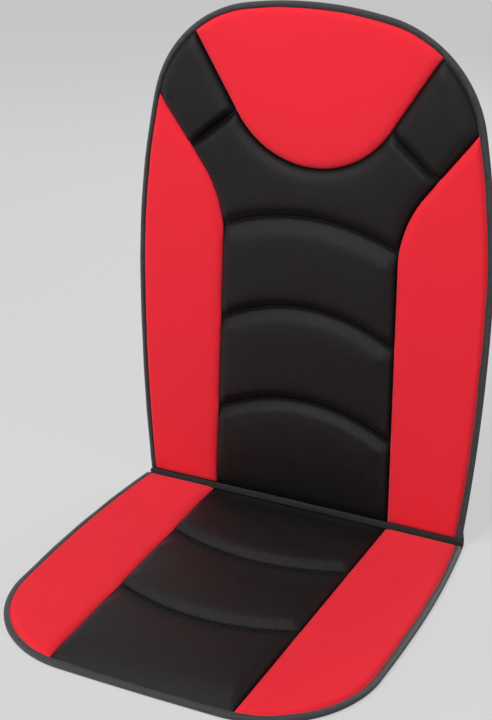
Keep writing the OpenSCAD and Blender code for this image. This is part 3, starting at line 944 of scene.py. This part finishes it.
blow_up(back_panels, [red_crown, red_crown, red_crown, black_crown, black_crown])
for panel in back_panels:
    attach(panel, "back")


# Back quilting: black thread along the three arches and the two shoulder lines, sewn through all the
# layers, with its stitches on the face and on the lining.
quilting_thread("back_quilting_thread", back_quilting, on_back, "back")


# Back binding: the same ribbed tape folded round the edge of the back pad, from the fold up one side,
# over the head and down to the fold again.
binding("back_edge_binding", back_arcs, on_back, "back")


# Straps: two black knitted elastic bands behind the back pad, which hold it to a seat. Their ends lie
# under the binding and are sewn to the lining in small boxes of stitches.
strap_width = 30 * MM
strap_stitch = (2.2 * MM, 2.8 * MM, 0.6 * MM)


def elastic_stuff():
    """Black knitted elastic: ribs along it over rubber strands, with fine gathers across."""
    material, add, surface = cloth_nodes(
        "black_elastic", roughness=0.65, specular=0.3,
        sheen=0.2, sheen_roughness=0.4,
    )
    along, across = on_cloth(add)
    gathers = wave(add, along, 1.2 * MM)
    strands = wave(add, across, 2.0 * MM)
    knit = blend_of(add, strands, blend_of(add, gathers, 0.6, "MULTIPLY"), "ADD")
    shade(add, surface, knit, knit, colour(20, 20, 21), colour(46, 45, 47), 0.2 * MM)
    return material


def strap(node, at):
    """One strap across the lining, ribbed along its length, with rounded selvedges."""
    end_inset = 5.5 * MM
    edge = pad_edge(back_arcs, end_inset, pad_start, 2 * MM)
    right = edge[: len(edge) // 2 + 1]
    half = float(np.interp(at, right[:, 1], right[:, 0]))
    across = np.linspace(-0.5, 0.5, 25)
    ribs = 0.12 * MM * np.cos(across * 14 * pi) ** 2
    thick = 0.55 * MM * np.sqrt(1 - (2 * across) ** 10 * 0.9)
    rear = np.column_stack([across * strap_width, -thick - ribs + 0.1 * MM])
    front = np.column_stack([across[::-1] * strap_width, thick[::-1] * 0.2 + 0.1 * MM])
    section = np.concatenate([rear, front])
    run = np.linspace(-half, half, 121)
    sunk = 0.75 * MM * np.clip((np.abs(run) - (half - 12 * MM)) / (6 * MM), 0, 1)
    slack = 0.25 * MM * np.sin(run * 31) * np.cos(run / half * pi / 2)

    def lay(i, cut):
        v = at + cut[:, 0] + 2 * slack[i]
        n = cut[:, 1] + sunk[i] - abs(slack[i])
        return np.column_stack([np.full(len(cut), run[i]), v, n])

    points, faces = swept(section, run, lay)
    uv = np.array([[s, g] for s in run for g in run_along(section)])
    made = piece(node + "_elastic", points, faces, on_back, uv, elastic)
    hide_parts(node)
    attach(made, "back")
    box_start, box_end, box_half, n = 7 * MM, 24 * MM, 11 * MM, -0.62 * MM
    boxes = []
    for side in (-1, 1):
        out, into = side * (half - box_start), side * (half - box_end)
        low, high = at - box_half, at + box_half
        corners = [[out, low, n], [out, high, n], [into, high, n], [into, low, n], [out, low, n]]
        boxes += [np.array([a, b]) for a, b in zip(corners, corners[1:])]
        boxes.append(np.array([corners[0], corners[2]]))
        boxes.append(np.array([corners[1], corners[3]]))
    sewing = stitch_row(boxes, *strap_stitch, -UP)
    stitches = piece(node + "_thread", sewing[0], sewing[1], on_back, sewing[2], grey_thread)
    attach(stitches, "back")


elastic = elastic_stuff()
strap("lower_strap", 190 * MM)
strap("upper_strap", 470 * MM)


# Fold: the facing edges of both pads are sewn to each other inside a folded tape, which stands up as a
# soft flat ridge along the line that the back turns about. A strip of lining closes the seam behind.
ridge_half = 232.5 * MM
left_tail, right_tail = 1.5 * MM, 6 * MM


def ridge(node):
    """The bound seam: a flat bead of tape that lies low at the left, stands up towards the right,
    and runs out into a short pointed tail."""
    turns = np.linspace(0, 2 * pi, 29)[:-1]
    run = np.linspace(-ridge_half - left_tail, ridge_half + right_tail, 240)

    def cut_at(x):
        share = np.clip((x + ridge_half) / (2 * ridge_half), 0, 1)
        tail = left_tail if x < 0 else right_tail
        end = np.clip((abs(x) - ridge_half + 1 * MM) / (tail + 1 * MM), 0, 1)
        swell = 1 + 0.15 * np.clip((abs(x) - ridge_half + 14 * MM) / (10 * MM), 0, 1)
        tall = np.interp(share, [0, 0.2, 0.45, 1], [3.4, 3.7, 4.1, 4.2]) * MM
        tall = tall * swell * (1 - 0.8 * end**1.5)
        thick = np.interp(share, [0, 0.3], [3.2, 3.3]) * MM * swell * (1 - 0.75 * end)
        sunk = np.interp(share, [0, 0.2, 0.45], [0.5, 0.5, 0]) * MM
        tip = radians(72) + 0.06 * sin(x * 37) + 0.04 * sin(x * 90 + 1)
        fin = np.stack([np.cos(turns), np.sin(turns)], 1)
        fin = np.sign(fin) * np.abs(fin) ** [0.9, 0.8] * [tall, thick]
        y = fin[:, 0] * cos(tip) - fin[:, 1] * sin(tip) + 0.5 * sunk
        z = fin[:, 0] * sin(tip) + fin[:, 1] * cos(tip) - sunk
        return np.column_stack([np.full(len(turns), x), fold_y + y, fold_z + z])

    points, faces = swept(turns, run, lambda i, _: cut_at(run[i]))
    uv = np.array([[x, t * 3.5 * MM] for x in run for t in turns])
    made = piece("fold_tape", points, faces, lambda p: p, uv, fold_tape)
    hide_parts(node)
    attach(made, "seat")


def gusset(name):
    """Strip of lining behind the fold. It lies on both linings and turns round the ridge."""
    reach = 9.6 * MM
    turn = np.linspace(0, radians(90) - back_lean, 15)
    lap = np.linspace(16 * MM, 1 * MM, 6)
    bottom = np.column_stack([fold_y - lap, np.full(6, fold_z - reach)])
    bend = np.column_stack([fold_y + reach * np.sin(turn), fold_z - reach * np.cos(turn)])
    way = np.array([sin(back_lean), cos(back_lean)])
    out = np.array([cos(back_lean), -sin(back_lean)])
    rise = np.array([fold_y, fold_z]) + reach * out + lap[::-1, None] * way
    inner = np.concatenate([bottom, bend, rise])
    outer = inner - 0.5 * MM * square_to(inner)
    section = np.concatenate([outer, inner[::-1]])
    half = np.interp(section[:, 1], [0, fold_z, fold_z + lap[0]], [237 * MM, 236 * MM, 234 * MM])
    across = np.linspace(-1, 1, 60)
    points, faces = swept(section, across, lambda i, cut: np.column_stack([across[i] * half, cut]))
    girth = run_along(section)
    uv = np.array([[x * half[0], g] for x in across for g in girth])
    made = piece(name, points, faces, lambda p: p, uv, black_lining)
    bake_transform(made)


# The fold tape is the same tape in darker colours: painted shade for the corner between the two pads.
fold_tape = tape_stuff("fold_tape", colour(12, 11, 12), colour(30, 28, 29), edge_shade=0.0)
ridge("fold_binding")
gusset("fold_gusset")


# Studio: a pale floor that runs on out of sight, one broad soft light from above and in front, weaker
# ones from both sides and from behind, and a camera at the height of someone standing before the seat.
def light(name, place, aim, size, power):
    lamp = bpy.data.lights.new(name, "AREA")
    lamp.shape = "SQUARE"
    lamp.size = size
    lamp.energy = power
    made = bpy.data.objects.new(name, lamp)
    made.location = place
    made.rotation_euler = (Vector(aim) - Vector(place)).to_track_quat("-Z", "Y").to_euler()
    bpy.context.scene.collection.objects.link(made)


def backdrop_share(tree, share):
    """How much of the pale backdrop a ray sees: a share when it is looked at or mirrored, else none."""
    path = tree.nodes.new("ShaderNodeLightPath")
    seen = path.outputs["Is Camera Ray"]
    for kind in ("Is Glossy Ray", "Is Transmission Ray"):
        either = tree.nodes.new("ShaderNodeMath")
        either.operation = "MAXIMUM"
        tree.links.new(seen, either.inputs[0])
        tree.links.new(path.outputs[kind], either.inputs[1])
        seen = either.outputs[0]
    part = tree.nodes.new("ShaderNodeMath")
    part.operation = "MULTIPLY"
    part.inputs[1].default_value = share
    tree.links.new(seen, part.inputs[0])
    return part.outputs[0]


def mixed_in(tree, lit, paper, share, output):
    """Mixes the paper of the backdrop into a lit surface or sky."""
    mix = tree.nodes.new("ShaderNodeMixShader")
    tree.links.new(backdrop_share(tree, share), mix.inputs[0])
    tree.links.new(lit.outputs[0], mix.inputs[1])
    tree.links.new(paper.outputs[0], mix.inputs[2])
    tree.links.new(mix.outputs[0], output.inputs[0])


floor_reach = 40.0
floor_level = -1.2 * MM
floor_mesh = bpy.data.meshes.new("floor")
floor_corners = [(x * floor_reach, y * floor_reach) for x, y in ((-1, -1), (1, -1), (1, 1), (-1, 1))]
floor_mesh.from_pydata([(x, y, floor_level) for x, y in floor_corners], [], [(0, 1, 2, 3)])
floor = bpy.data.objects.new("floor", floor_mesh)
bpy.context.scene.collection.objects.link(floor)
pale = bpy.data.materials.new("pale_floor")
pale.use_nodes = True
pale_nodes = pale.node_tree.nodes
pale_surface = pale_nodes["Principled BSDF"]
pale_surface.inputs["Base Color"].default_value = (0.40, 0.40, 0.40, 1)
pale_surface.inputs["Roughness"].default_value = 0.9
pale_surface.inputs["Specular IOR Level"].default_value = 0.1
floor_paper = pale_nodes.new("ShaderNodeEmission")
floor_paper.inputs[0].default_value = (0.80, 0.80, 0.80, 1)
mixed_in(pale.node_tree, pale_surface, floor_paper, 0.66, pale_nodes["Material Output"])
floor_mesh.materials.append(pale)

world = bpy.data.worlds.new("studio")
world.use_nodes = True
sky_nodes = world.node_tree.nodes
sky = sky_nodes["Background"]
sky.inputs[0].default_value = (0.96, 0.97, 1.0, 1)
sky.inputs[1].default_value = 0.07
sky_paper = sky_nodes.new("ShaderNodeBackground")
sky_paper.inputs[0].default_value = (0.55, 0.55, 0.55, 1)
mixed_in(world.node_tree, sky, sky_paper, 1.0, sky_nodes["World Output"])
bpy.context.scene.world = world
light("key", (-0.45, -1.55, 2.6), aim=(0, 0.1, 0.3), size=1.3, power=89)
light("left_fill", (-2.2, -1.2, 0.9), aim=(0, 0.1, 0.3), size=1.4, power=11)
light("right_fill", (2.3, -0.9, 0.9), aim=(0, 0.1, 0.3), size=1.4, power=14)
light("rear_left", (-1.6, 1.3, 1.1), aim=(0, -0.15, 0), size=1.0, power=3)
light("rear", (0.2, 2.1, 1.2), aim=(0, 0.25, 0.35), size=1.0, power=22)

camera_data = bpy.data.cameras.new("camera")
camera_data.lens = 81.75
camera_data.sensor_width = 36
camera = bpy.data.objects.new("camera", camera_data)
azimuth, elevation, roll = radians(26.11), radians(25.12), radians(-0.34)
back_way = Vector((sin(azimuth) * cos(elevation), -cos(azimuth) * cos(elevation), sin(elevation)))
right_way = Vector((cos(azimuth), sin(azimuth), 0))
up_way = back_way.cross(right_way)
turned_right = cos(roll) * right_way + sin(roll) * up_way
turned_up = cos(roll) * up_way - sin(roll) * right_way
axes = Matrix((turned_right, turned_up, back_way)).transposed().to_4x4()
camera_place = (0.7981, -1.56155, 1.1501)
camera.matrix_world = Matrix.Translation(camera_place) @ axes
bpy.context.scene.collection.objects.link(camera)
bpy.context.scene.camera = camera
bpy.context.scene.view_settings.view_transform = "Standard"
